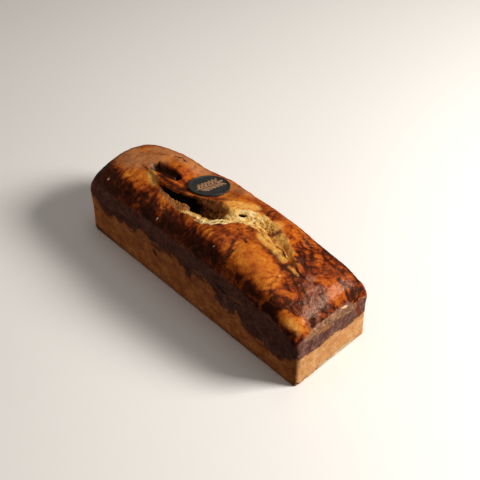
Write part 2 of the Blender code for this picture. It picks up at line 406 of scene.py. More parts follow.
# The cocoa band round the walls, as the height of its lower and its upper edge along each side.
BAND_LOW = {
    "front": (
        (-143, 56), (-130, 52), (-120, 43.5), (-110, 37.5), (-100, 37), (-90, 40.5), (-70, 40.5),
        (-62, 46), (-55, 52), (-46, 50), (-40, 44), (-30, 44.5), (-20, 47), (-10, 50), (0, 44),
        (6, 40), (12, 36), (18, 46.5), (30, 49), (42, 47), (47, 35.5), (55, 31.5), (64, 33),
        (71, 40), (78, 30), (92, 25.5), (110, 23), (124, 24.5), (132, 30.5), (140, 37), (143, 37.5),
    ),
    "near": (
        (-41.5, 34), (-29, 32), (-20.5, 30), (-6, 32.5), (4.5, 33), (17, 28.5), (31.5, 29.5),
        (46, 33),
    ),
    "back": (
        (-143, 52.5), (-128, 44), (-110, 39.5), (-92, 45.5), (-78, 49.5), (-60, 39), (-44, 32.5),
        (-30, 39.5), (-15, 48), (0, 43), (20, 33.5), (38, 31), (52, 40), (66, 45), (84, 36.5),
        (100, 29), (118, 31), (134, 35.5), (143, 37),
    ),
    "far": (
        (-42, 56.5), (-25, 47.5), (-10, 42.5), (5, 49.5), (20, 53.5), (32, 50.5), (42, 52.5),
    ),
}
BAND_TOP = {
    "front": (
        (-143, 58), (-120, 62), (-100, 63.5), (-87, 64), (-69, 65.5), (-51, 66.5), (-33, 67.5),
        (0, 69), (35, 68), (55, 69), (72, 68), (85, 66), (98, 62.5), (108, 64.5), (120, 60.5),
        (131, 56), (143, 50),
    ),
    "near": (
        (-42, 51), (-34, 55), (-13.5, 59), (2, 60), (14.5, 59), (25, 53), (37.5, 50.5), (46, 50),
    ),
    "back": (
        (-143, 60), (-115, 64.5), (-80, 66.5), (-40, 66), (0, 66), (40, 63.5), (80, 63.5),
        (120, 59.5), (143, 50),
    ),
    "far": ((-42, 58), (0, 61), (42, 60)),
}

# Marks on the -Y wall, as (x, z): ochre streaks, and dark patches of cocoa. The last dark mark darkens the foot
# at the far end.
FRONT_OCHRE = (
    (((-57, 44), (-44, 43), (-31, 46)), 4.5, 0.8),
    (((-22, 46), (-8, 44)), 3.5, 0.5),
    (((18, 50), (27, 54), (36, 49)), 5, 0.6),
    (((63, 51), (71, 53), (79, 55)), 3.5, 0.75),
    (((-86, 52), (-75, 53)), 3, 0.6),
    (((-120, 54), (-112, 57)), 4, 0.4),
    (((98, 58), (112, 55)), 3.5, 0.4),
    (((132, 27), (139, 29)), 3, 0.35),
)
FRONT_DARK = (
    (((-39, 35), (-37, 33)), 5, 0.75),
    (((-60, 28), (-59, 26)), 4, 0.4),
    (((-113, 37), (-108, 34)), 7, 0.5),
    (((49, 55), (55, 52)), 5.5, 0.9),
    (((8, 44), (13, 37)), 5, 0.55),
    (((131, 46), (142, 43)), 5.5, 0.9),
    (((-98, 43), (-92, 46)), 4, 0.5),
    (((-78, 55), (-64, 57)), 2.5, 0.35),
    (((-141, 3), (-120, 3), (-102, 1)), 6, 0.6),
)
# Painted glints on the -Y wall just above its foot, as (x, z): small pale spots that stand for highlights.
FRONT_GLINTS = (
    (((-66, 6), (-64.5, 6)), 1.1, 0.5),
    (((-35, 7), (-33, 7.5)), 1.3, 0.6),
    (((-22, 11), (-20.5, 11)), 1.1, 0.6),
    (((23, 7), (28, 8)), 1.2, 0.6),
    (((51, 11), (53, 10)), 1.1, 0.55),
    (((56, 8.5), (58, 9)), 1.0, 0.55),
    (((66, 5), (68, 4.5)), 1.0, 0.55),
    (((83, 5), (85, 5.5)), 1.1, 0.55),
    (((98, 4), (102, 3.5)), 1.1, 0.6),
    (((110, 4), (111, 4)), 1.0, 0.5),
)
# Marks on the +X end, as (y, z).
END_OCHRE = (
    (((-28, 55), (-18, 52), (-8, 48.5)), 3.2, 1.0),
    (((6, 49), (16, 48), (25, 46)), 3.2, 0.5),
    (((-41, 60), (-34, 57)), 4.5, 0.7),
)
END_RUST = (
    (((29, 49), (31, 40), (34, 32)), 4.2, 0.95),
    (((-14, 8), (-12, 15)), 1.6, 0.5),
    (((-2, 9), (1, 11)), 1.8, 0.5),
    (((-43, 52), (-43, 40)), 3.4, 0.75),
)
END_TAN = (
    (((-30, 54), (-12, 56), (8, 53), (25, 50)), 6.5, 0.85),
    (((24, 49), (31, 46)), 3.0, 0.3),
)
# Pale torn crumb along the foot of the +X end. The first two marks, along the top edge, are painted highlights
# where the key light glints on the shoulder.
END_TORN_AND_HIGHLIGHTS = (
    (((10, 57), (17, 55.5)), 1.2, 0.6),
    (((30, 53.5), (38, 51)), 1.0, 0.4),
    (((-15, 1.2), (-8, 3.2), (-1, 2.0)), 3.4, 1.0),
    (((4, 1.6), (13, 3.8), (24, 1.8)), 3.6, 1.0),
    (((-35, 0.9), (-22, 1.2)), 1.2, 0.5),
    (((28, 0.8), (38, 1.2)), 1.4, 0.45),
)
END_PITS = (
    (((-19, 1.2), (-17, 1.6)), 1.5, 1.0),
    (((-6.5, 3.4), (-4.5, 3.6)), 1.3, 1.0),
    (((7, 4.2), (9, 4.4)), 1.2, 0.8),
    (((-41, 2), (-39.5, 1.6)), 1.4, 1.0),
    (((-31, 1.1), (-29.5, 1.2)), 1.0, 0.7),
)

# Dark cocoa swirls on the crown, as (x, y).
SWIRLS = (
    (((-138.5, -35.5), (-123.5, -27.5), (-107.5, -31), (-93.5, -37)), 9, 0.75),
    (((-127, -37), (-109.5, -39.5), (-93.5, -39)), 6, 0.8),
    (((-129.5, -20), (-117.5, -18), (-105.5, -25)), 4, 0.45),
    (((-131.5, 15), (-123.5, 18), (-115.5, 11)), 6, 0.3),
    (((-116, 8), (-109.5, -2), (-100.5, -11.5)), 1.8, 0.45),
    (((-98, 16), (-90, 18)), 2.4, 0.55),
    (((-83.5, 5), (-77.5, 6.5), (-71.5, 9.5)), 3.2, 0.5),
    (((-80.5, 22), (-74.5, 26), (-67, 25.5)), 3.0, 0.85),
    (((-64, 13.5), (-62, 15.5)), 1.4, 0.8),
    (((-54.5, 12), (-57, 19.5), (-57.5, 27.5), (-60.5, 34)), 2.6, 0.45),
    (((-50, 7.5), (-47, 4.5)), 2.5, 0.4),
    (((-60.5, -36), (-51.5, -37), (-40.5, -39)), 3.0, 0.8),
    (((-37.5, -27), (-26.5, -33), (-13, -39.5)), 3.4, 0.8),
    (((-30, -25), (-15, -33), (-5.5, -39)), 2.6, 0.7),
    (((-20, -29), (-8.5, -38)), 1.8, 0.6),
    (((-54.5, -22.5), (-48, -30.5), (-41, -36.5)), 2.0, 0.5),
    (((-73, -22), (-65, -31), (-59.5, -37)), 1.6, 0.45),
    (((36, -21), (42, -21)), 1.8, 0.75),
    (((39, -9.5), (47, -12.5), (54, -14.5)), 2.3, 0.75),
    (((43.5, -2), (48.5, -1)), 2.2, 0.65),
    (((51.5, -21), (52.5, -27)), 1.8, 0.75),
    (((44, -22), (49.5, -30.5), (51.5, -38)), 3.2, 0.9),
    (((38, -24.5), (42, -33), (44, -39.5)), 2.0, 0.55),
    (((19.5, -22.5), (25, -32), (30, -39.5)), 1.6, 0.55),
    (((11, -26), (15.5, -34.5), (19.5, -40)), 1.4, 0.5),
    (((40, 32.5), (39.5, 27), (45, 18), (47.5, 11.5)), 2.8, 0.85),
    (((42, 33.5), (48, 24.5), (51.5, 14.5)), 2.0, 0.8),
    (((32, 32.5), (36.5, 25.5), (41, 21.5)), 1.8, 0.4),
    (((81, 28), (86, 27), (91, 25)), 3.2, 0.85),
    (((69, 23.5), (76, 31.5), (83.5, 35)), 1.5, 0.5),
    (((94.5, 12), (99.5, 7.5), (106, 5)), 2.2, 0.75),
    (((99, 18), (105, 17)), 1.8, 0.8),
    (((95.5, 28.5), (108, 22.5), (117.5, 19), (125.5, 9)), 2.2, 0.5),
    (((110.5, 27.5), (118.5, 29), (127, 30), (136, 27.5)), 1.9, 0.5),
    (((89, 35.5), (100, 32.5), (109.5, 36.5)), 2.0, 0.45),
    (((121.5, 19.5), (130, 23.5), (137.5, 21)), 1.4, 0.4),
    (((105, -0.5), (111, 2.5)), 2.3, 0.8),
    (((115.5, -12), (120, -9)), 2.2, 0.9),
    (((106, -5), (113.5, -8.5)), 2.6, 0.65),
    (((105.5, -36), (113.5, -34), (122, -32)), 4.2, 0.8),
    (((113, -28.5), (120, -25.5)), 3.5, 0.7),
    (((81.5, -40.5), (91.5, -39.5), (100, -34.5), (104, -26)), 1.8, 0.6),
    (((97.5, -38.5), (107, -32.5), (110, -21)), 1.4, 0.5),
    (((60, -39.5), (72, -39.5), (82, -38.5)), 1.2, 0.4),
    (((128.5, 0.5), (135.5, 3.5), (139.5, 6)), 1.8, 0.6),
    (((133.5, -15), (139, -20.5)), 1.6, 0.5),
    (((60.5, -5), (64, -8.5)), 2.0, 0.45),
    (((79, -1.5), (87, -7.5), (96.5, -13), (100.5, -20.5)), 1.5, 0.5),
    (((61, -36), (72.5, -39), (90, -37.5), (97.5, -29.5), (95.5, -18)), 2.2, 0.5),
    (((62, -41), (80, -42), (94.5, -41.5), (112, -30)), 1.8, 0.45),
    (((92.5, -6.5), (99.5, -11), (105.5, -14.5)), 1.8, 0.5),
    (((-5, 27), (5.5, 31), (13.5, 33)), 1.6, 0.35),
    (((7, 22), (11, 23)), 1.0, 0.6),
    (((4.5, 9.5), (8.5, 10.5)), 0.8, 0.7),
    (((17.5, 22), (19.5, 23)), 0.9, 0.7),
)
# Where the crust is paler and more golden than around it.
GOLDEN = (
    (((60, -23), (72.5, -20), (88, -22), (91.5, -26.5)), 15, 1.0),
    (((78, -30.5), (70, -31.5)), 7, 0.6),
    (((122.5, -37.5), (132, -34), (139, -29.5)), 6.5, 0.95),
    (((97.5, -40), (103.5, -35.5)), 3.0, 0.6),
    (((105.5, -29), (110, -23), (115.5, -21)), 3.5, 0.7),
    (((-3, 15), (12.5, 14.5), (22.5, 19.5)), 6.5, 0.95),
    (((117.5, 9), (126.5, 13), (132.5, 12.5), (134, 6.5)), 6.5, 0.6),
    (((75, 24), (81, 26)), 4, 0.7),
    (((109.5, 12), (101.5, 24.5)), 4, 0.5),
    (((-81, -9), (-71, -14), (-62.5, -15.5)), 4.0, 0.75),
    (((-133.5, 6), (-117, 25.5), (-94, 28)), 13, 0.45),
    (((-89.5, -18), (-73, -24)), 9, 0.3),
    (((-42.5, -25.5), (-36.5, -28)), 2.5, 0.6),
    (((-9.5, -25.5), (-1, -23)), 3.5, 0.55),
    (((65, 19), (70.5, 25.5)), 4.5, 0.5),
)
# Dark, well-baked parts of the crust.
BROWNED = (
    (((-64, -7), (-52, -9), (-34, -6)), 5, 0.75),
    (((-88, 0.5), (-81, 0)), 5, 1.0),
    (((94, -26), (101, -33)), 6, 0.6),
    (((82, -37), (95, -37), (104, -31)), 5.5, 0.5),
    (((-30, -30), (-8, -30), (14, -33)), 6, 0.35),
    (((-141.5, -20.5), (-121.5, -30.5), (-96.5, -36)), 14, 0.6),
    (((-112, -36), (-81.5, -35), (-41, -34), (-8, -36), (40, -39.5)), 11, 0.6),
    (((22, -17), (32, -23), (42.5, -17)), 8, 0.3),
    (((98, -17), (105.5, -20.5)), 5, 0.4),
    (((100.5, 36), (118.5, 37.5)), 5, 0.3),
    (((-62.5, 4), (-50, 1.5), (-43.5, 3)), 5, 0.45),
    (((96, 8), (99.5, 15.5), (93.5, 28.5)), 5, 0.25),
    (((113, -38.5), (103, -40)), 5, 0.8),
    (((-55, -41), (0, -42), (50, -41)), 3.5, 0.4),
)
# Pale, torn crumb outside the gash.
PALE_EDGES = (
    (((15, -20), (20, -15.5), (27, -11)), 2.0, 0.85),
    (((0, -23.5), (8, -23), (15, -20)), 2.0, 0.55),
    (((-24, -24.5), (-10, -23), (0, -23.5)), 1.8, 0.35),
    (((29, -8), (36, -3)), 1.2, 0.5),
)
# Dark stains on the crumb inside the gash.
CRUMB_STAINS = (
    (((60, 8), (63, 13), (65, 18)), 2.4, 0.8),
    (((47, 4), (54, 5)), 1.4, 0.6),
    (((66, 7), (69, 3.5)), 1.4, 0.6),
    (((33, 8), (36, 5)), 0.9, 0.35),
    (((72, 14), (76, 9)), 1.5, 0.35),
)
# Painted sheen over the crust: greyish violet patches that stand for light reflected on its glossy curves, most
# of them near the +X end.
CROWN_PAINTED_SHEEN = (
    (((112, 2), (122, -6), (131, -12), (137, -20)), 11, 1.0),
    (((124, 2), (135, -2)), 7, 0.8),
    (((82, 29), (88, 25)), 4, 0.6),
    (((-120, -34), (-101, -40)), 7, 0.55),
    (((100, 22), (107, 14)), 4, 0.35),
)
# Smooth, pale yellow crust beside the gash. The first mark, at the near front corner, is painted light: it
# brightens crust that faces away from the key light.
CROWN_YELLOW_AND_LIGHT = (
    (((127, -38), (136, -36)), 4.5, 0.55),
    (((11, 6), (20, 13), (29, 20)), 7, 0.9),
    (((20, 5), (31, 9), (42, 13)), 8.5, 0.95),
    (((52, 8), (57, 20)), 6, 0.7),
    (((66, 10), (74, 12)), 5, 0.4),
    (((-80, -8), (-71, -13), (-65, -15)), 5.5, 0.85),
    (((56, -0.5), (63, -2), (71, -3), (79, -2)), 4.6, 1.0),
    (((79, -2), (88, -3.6)), 3.4, 0.9),
    (((95, -5), (103, -4.5)), 1.8, 0.6),
)
# Painted sheen: paler, less saturated crust over the far crown and along the back, standing for a bright
# surround reflected at grazing angles.
CROWN_PALE_SHEEN = (
    (((-128, 2), (-108, -6), (-88, 8)), 24, 0.9),
    (((-110, 22), (-80, 26), (-40, 28)), 14, 0.9),
    (((-25, 32), (10, 30)), 9, 0.7),
)
# Painted glints on the crown: small pale spots that stand for highlights on the glossy crust, as (x, y) and
# radius.
CROWN_GLINTS = (((-112, -34), 1.6), ((-34, -39), 1.4), ((-136, -31), 1.8), ((96, -17), 0.9), ((35, -34), 0.9))

# Small, deep holes: middle, half length, half width, turn in degrees and depth.
HOLES = (
    ((-56, 4.5), 3.6, 2.0, -8, 5.0),
    ((28.5, 5.2), 4.6, 1.5, 40, 4.5),
    ((-83, 4), 2.0, 1.3, 10, 2.0),
    ((113, -9.5), 2.0, 1.2, 20, 1.2),
    ((104, 16), 1.4, 0.9, -40, 1.0),
)

# How dark the torn crumb is along the gash: 0 cream, 0.25 yellow, 0.5 olive, 0.7 tan, 1 brown.
CRUMB_TONE = (
    (-80, 0.6), (-62, 0.75), (-40, 0.67), (-22, 0.74), (-10, 0.72), (-2, 0.62), (12, 0.55),
    (20, 0.22), (30, 0.1), (44, 0.18), (55, 0.36), (62, 0.42), (70, 0.3), (85, 0.34), (96, 0.5),
    (106, 0.7),
)
# How well the crust is baked along X, before the marks above.
CROWN_BAKE = (
    (-143, 0.55), (-125, 0.44), (-100, 0.38), (-70, 0.43), (-40, 0.5), (0, 0.46), (40, 0.44),
    (85, 0.52), (100, 0.62), (120, 0.66), (143, 0.6),
)


# ---------------------------------------------------------------------------------------------
# Masks: each is one number between 0 and 1 for each point, read by the material
# ---------------------------------------------------------------------------------------------


def side_value(curves, points):
    """The value of the curve that belongs to the side each point is on, blended at corners."""
    x, y = points[:, 0], points[:, 1]
    ends = np.where(x > 0, through(curves["near"], y), through(curves["far"], y))
    sides = np.where(y < 0, through(curves["front"], x), through(curves["back"], x))
    return end_share(points) * ends + (1 - end_share(points)) * sides


def end_share(points):
    """1 on the two ends of the loaf, 0 on its long sides."""
    out_x = np.abs(points[:, 0]) - (RIM_LENGTH - RIM_WIDTH) / 2
    return smooth((out_x - np.abs(points[:, 1])) / 4 + 0.5)


def hole_depth(points):
    """How far the named holes sink the crown, in millimetres."""
    sunk = np.zeros(len(points))
    for middle, length, width, turn, depth in HOLES:
        turn = math.radians(turn)
        along = np.array((math.cos(turn), math.sin(turn)))
        offset = points[:, :2] - np.array(middle)
        reach = np.hypot(offset @ along / length, (offset @ (along[1], -along[0])) / width)
        sunk = np.maximum(sunk, depth * smooth(1.5 * (1 - reach)))
    return sunk


def wander(points, size, seed):
    """Three slow noises for each point, to bend painted edges with."""
    return np.stack([noise(points, size, seed + k) for k in range(3)], -1)


def wall_masks(points, warped, is_crown):
    """The masks of the skin on the four walls and of the band that runs round them, with painted light: a paler
    lit end, a painted sheen, painted shade along the foot, and painted glints and highlights.
    """
    x, y, z = points.T
    low = side_value(BAND_LOW, warped) + 1.2 * noise(points, 2.6, 37) + 1.8 * noise(points, 7, 40, 2)
    top = side_value(BAND_TOP, warped) + 1.4 * noise(points, 5, 38)
    band = smooth((z - low) / 5.5 + 0.5)
    crust = smooth((z - top) / 6 + 0.5) * is_crown
    outer = np.clip(smooth((np.abs(y) - 34) / 4) + smooth((np.abs(x) - 139) / 2.5), 0, 1)
    outer = np.where(is_crown > 0, outer, 1)
    crust = np.maximum(crust, (1 - outer) * is_crown)

    front = (1 - end_share(points)) * (y < 0)
    near = end_share(points) * (x > 0)
    on_front, on_end = warped[:, [0, 2]], warped[:, [1, 2]]
    dark = painted(on_front, FRONT_DARK, 0.8) * front
    ochre = painted(on_front, FRONT_OCHRE, 0.8) * front + painted(on_end, END_OCHRE, 0.7) * near
    # Torn crumb at the foot of the +X end, with painted highlights along its top edge and painted glints above
    # the -Y wall's foot.
    torn = painted(points[:, [1, 2]] + 0.4 * noise(points, 2, 39)[:, None], END_TORN_AND_HIGHLIGHTS, 0.6) * near
    torn += painted(points[:, [0, 2]], FRONT_GLINTS, 0.6) * front
    return {
        "band": band,
        "crust": crust,
        "dark": dark,
        "ochre": ochre,
        "rust": painted(on_end, END_RUST, 0.8) * near,
        "tan": painted(on_end, END_TAN, 0.6) * near,
        "torn": torn,
        "pits": painted(points[:, [1, 2]], END_PITS, 0.7) * near,
        # The +X end is painted paler than the sides: partly painted light for the lit end, partly a lighter
        # bake.
        "lit_end": near,
        # Painted sheen: the band's upper part on the long sides and far end is painted paler, for light
        # reflected on the rounded shoulder.
        "painted_band_sheen": smooth((z - top + 19) / 9) * smooth((top + 1 - z) / 6) * (1 - near) * outer,
        # Painted shade: the -Y wall darkens towards its foot, for the shade where it meets the floor.
        "foot": smooth(1 - z / 11) * front,
        "shoulder": smooth((top + 15 - z) / 16) * front,
        "soak": smooth((z - low + 11) / 12) * front * smooth(0.7 + 0.9 * noise(warped, 8, 57, 2)),
    }


def crust_masks(points, warp, flat, crumb):
    """The masks of the crust: how well it is baked, cocoa swirls, and painted sheen in violet and in pale tan.
    """
    x, y, _ = points.T
    warped = points + 3 * warp
    bake = through(CROWN_BAKE, x) + 0.2 * noise(warped, 15, 42, 2) + 0.17 * noise(warped, 4.2, 43, 2)
    streaks = noise(warped * np.array((1, 0.2, 0.2)), 2.8, 41, 2)
    bake += 0.3 * streaks * smooth((-y - 13) / 10) * smooth((y + 44) / 9) * smooth((58 - x) / 8)
    veined = smooth((x - 58) / 14) + 0.35
    bake += 0.34 * veined * ridges(points + 6 * warp, (15, 10, 13), 44, 0.16)
    bake += 0.2 * veined * ridges(points + 4 * warp, (6.5, 5, 6), 45, 0.16)
    bake += 0.62 * painted(flat, BROWNED, 0.75) * (1 + 0.5 * noise(warped, 5, 59, 2))
    golden = painted(flat, GOLDEN, 0.4)
    golden *= 1 - 0.45 * ridges(points + 5 * warp, (11, 9, 10), 58, 0.2)
    bake += golden * (0.27 - bake + 0.10 * noise(points, 3, 46, 2) + 0.12 * noise(points, 9, 48))
    cocoa = painted(flat, SWIRLS, 0.65) * (0.8 + 0.55 * noise(points, 3.2, 47, 2))
    # Painted sheen: violet patches standing for reflected light.
    painted_crown_sheen = painted(flat, CROWN_PAINTED_SHEEN, 0.6) * smooth(0.62 + 0.8 * noise(points + 4 * warp, 7, 49))
    return {
        "bake": bake - 0.15 * smooth((crumb - 0.2) / 0.3),
        "cocoa": cocoa * (1 - 0.9 * crumb),
        "painted_crown_sheen": painted_crown_sheen,
        "yellow_and_painted_light": painted(flat, CROWN_YELLOW_AND_LIGHT, 0.75),
        "painted_pale_sheen": painted(flat, CROWN_PALE_SHEEN, 0.9),
    }


def crumb_masks(points, flat, fine_warp):
    """The masks of the torn crumb in and beside the gash, and the painted shade in its depths, under the plaque
    and in the holes.
    """
    x, y, _ = points.T
    front, back = lips(x)
    depth = through(GASH_DEPTH, x)
    sunk, across = gash_sink(x, y)
    from_front = y - front
    back_edge = np.where(x < 17, (back - y) / 0.9, (back - y + 4) / 7)
    ragged = 0.35 * fine_warp[:, 0]
    crumb = smooth((from_front + ragged) / (0.8 + 2 * smooth((x - 55) / 10))) * smooth(back_edge + ragged)
    crumb *= smooth(depth / 1.5) * smooth((x + 63) / 16) * (1 - 0.4 * smooth((x - 60) / 12))

    pale = painted(flat, PALE_EDGES, 0.7)
    tone = through(CRUMB_TONE, x) + 0.2 * noise(points, 5, 50, 2) + 0.12 * noise(points, 1.9, 51)
    tone += 0.5 * painted(flat, CRUMB_STAINS, 0.7)
    lip = smooth((7 - from_front) / 4.5) * smooth((x + 26) / 14) * smooth((22 - x) / 6)
    tone -= 0.55 * lip
    tone += 0.1 * smooth((across - 0.1) / 0.5) * smooth((22 - x) / 8)
    shaggy = noise(points * np.array((1, 0.4, 0.45)), 2.3, 56, 2)
    tone += 0.7 * shaggy * smooth((sunk - 5) / 4) * (1 - 0.75 * smooth((x - 55) / 10))
    # Painted shade: the deep gash, the back wall under the plaque and the crevices between crumbs are painted
    # near black.
    open_end = 1 - 0.5 * smooth((x + 18) / 10) - 0.5 * smooth((x - 2) / 12)
    cavity_shade = smooth((sunk - 5) / 5) * open_end * smooth((x + 66) / 8)
    under = smooth((across + 0.2) / 0.3) * smooth((-14 - x) / 8) * smooth((x + 60) / 8)
    cavity_shade = np.maximum(cavity_shade, under * smooth((sunk - 1) / 4))
    crevice = ridges(points, 4.2, 52, 0.25) * smooth((sunk - 5) / 5) * smooth((24 - x) / 5)
    cavity_shade = np.maximum(cavity_shade, 0.7 * crevice)
    return {
        "crumb": np.maximum(crumb, pale),
        "tone": tone - 0.5 * pale,
        # Painted shade in the small deep holes as well.
        "cavity_shade": np.maximum(cavity_shade, 0.95 * smooth(hole_depth(points) / 2.2)),
    }


def masks_of(points, is_crown):
    """Every mask the material reads, and the depth of the pores, for each point."""
    warp, fine_warp = wander(points, 13, 31), wander(points, 4, 34)
    warped = points + 1.8 * warp + 1.2 * fine_warp
    flat = warped[:, :2]
    masks = wall_masks(points, warped, is_crown)
    masks.update({key: value * is_crown for key, value in crumb_masks(points, flat, fine_warp).items()})
    crumb = masks["crumb"]
    crust = crust_masks(points, warp, flat, crumb)
    masks.update({key: value * is_crown for key, value in crust.items()})

    # The hollow beyond the gash's far end is painted darker towards its bottom.
    hollow_share = hollow(points[:, 0], points[:, 1]) / HOLLOW_DEPTH * is_crown
    masks["bake"] += 1.0 * hollow_share + 0.04 * masks["shoulder"]
    masks["painted_pale_sheen"] *= 1 - hollow_share
    # Painted glints on the crown go into the torn crumb mask.
    for middle, radius in CROWN_GLINTS:
        away = np.linalg.norm(points[:, :2] - np.array(middle), axis=1)
        masks["torn"] = np.maximum(masks["torn"], is_crown * smooth(1.5 * (1 - away / radius)))

    specks = pores(points, 3.9, 1.2, 0.75, 53) * is_crown * (1 - crumb)
    specks *= 0.35 + 0.65 * smooth((62 - points[:, 0]) / 10)
    crumb_pores = crumb * pores(points, 3.4, 1.4, 0.6, 54)
    wall_pores = pores(points, 3.6, 0.75, 0.4, 55) * (1 - is_crown)
    masks["bake"] = masks["bake"] + 0.5 * specks
    masks["pore"] = np.maximum(crumb_pores, wall_pores)
    sink = 0.45 * specks + 1.0 * crumb_pores + 0.3 * wall_pores
    return {key: np.clip(value, 0, 1) for key, value in masks.items()}, sink


def relief_of(points, masks, sink, is_crown):
    """How far the surface stands out from the plain shape, in millimetres."""
    x, y, z = points.T
    crumb = masks["crumb"]
    skin = 0.4 * noise(points, 9, 61, 2) + 0.14 * noise(points, 2.8, 62, 2)
    skin += 0.35 * masks["painted_crown_sheen"] * (ridges(points, 5, 67, 0.5) - 0.5)
    torn = 1.3 * noise(points, 6.5, 63, 2) + 0.8 * noise(points, 2.6, 64)
    torn *= 0.4 + 1.2 * smooth((gash_sink(x, y)[0] - 4) / 6)
    torn += 0.7 * (ridges(points, 4.2, 68, 0.6) - 0.5)
    torn *= 1 - 0.55 * smooth((x - 55) / 10)
    relief = skin * (1 - crumb) + torn * crumb
    relief += 0.9 * mark(points[:, :2], ((62, -22), (86, -23)), 15, 0.8)
    relief -= 0.2 * masks["cocoa"] + hole_depth(points)
    relief *= smooth((z - RIM_HEIGHT) / 6)
    wall = np.minimum(0.28 * noise(points, 14, 65, 2) + 0.09 * noise(points, 2.2, 66) - 0.25, 0)
    wall += 0.9 * smooth(1 - z / 25)
    wall -= 1.1 * masks["pits"] + 0.25 * masks["torn"] * (noise(points, 1.8, 69) + 1)
    relief = np.where(is_crown > 0, np.where(z < RIM_HEIGHT + 6, np.minimum(relief, 0), relief), wall)
    return (relief - sink) * smooth(z / 1.2)


# ---------------------------------------------------------------------------------------------
# Meshes
# ---------------------------------------------------------------------------------------------


def make_mesh(name, points, faces, masks=None):
    """An object from points in millimetres, faces and a mask value for each point."""
    data = bpy.data.meshes.new(name)
    data.from_pydata((points * MM).tolist(), [], faces)
    data.shade_smooth()
    for key, values in (masks or {}).items():
        layer = data.attributes.new(key, "FLOAT", "POINT")
        layer.data.foreach_set("value", values.astype(np.float32))
    made = bpy.data.objects.new(name, data)
    bpy.context.scene.collection.objects.link(made)
    return made


def normals_of(points, quads):
    """Smooth outward normals of a mesh of quads."""
    a, b, c, d = (points[quads[:, k]] for k in range(4))
    flat = np.cross(c - a, d - b)
    total = np.zeros_like(points)
    for k in range(4):
        np.add.at(total, quads[:, k], flat)
    length = np.linalg.norm(total, axis=1, keepdims=True)
    return total / np.maximum(length, 1e-9)


def make_loaf():
    """The loaf: a fine grid over the crown, rings down the walls and a flat base."""
    grid = crown_grid()
    loop = rim_loop()
    walls = wall_points(grid[loop[:, 0], loop[:, 1]])
    base = base_points(walls[-1])
    points = np.concatenate([grid.reshape(-1, 3), walls.reshape(-1, 3), base.reshape(-1, 3)])
    index = np.arange(grid.shape[0] * grid.shape[1]).reshape(grid.shape[:2])
    is_crown = (np.arange(len(points)) < index.size).astype(float)

    quads = [np.stack([index[:-1, :-1], index[1:, :-1], index[1:, 1:], index[:-1, 1:]], -1).reshape(-1, 4)]
    upper = index[loop[:, 0], loop[:, 1]]
    first = index.size
    for _ in range(len(walls) + len(base)):
        lower = np.arange(first, first + len(loop))
        quads.append(np.stack([upper, lower, np.roll(lower, -1), np.roll(upper, -1)], -1))
        upper = lower
        first += len(loop)
    quads = np.concatenate(quads)
    faces = quads.tolist() + [upper[::-1].tolist()]

    masks, sink = masks_of(points, is_crown)
    points = points + normals_of(points, quads) * relief_of(points, masks, sink, is_crown)[:, None]
    points = np.clip(points, CAKE_LOW, CAKE_HIGH)
    loaf = make_mesh("loaf", points, faces, masks)
    loaf.data.materials.append(loaf_material())
    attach(loaf, "root")
    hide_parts("cake")


# ---------------------------------------------------------------------------------------------
# Materials
# ---------------------------------------------------------------------------------------------


def colour(red, green, blue):
    """A linear colour from screen values between 0 and 255."""
    values = np.array((red, green, blue)) / 255
    linear = np.where(values <= 0.04045, values / 12.92, ((values + 0.055) / 1.055) ** 2.4)
    return (*linear.tolist(), 1.0)


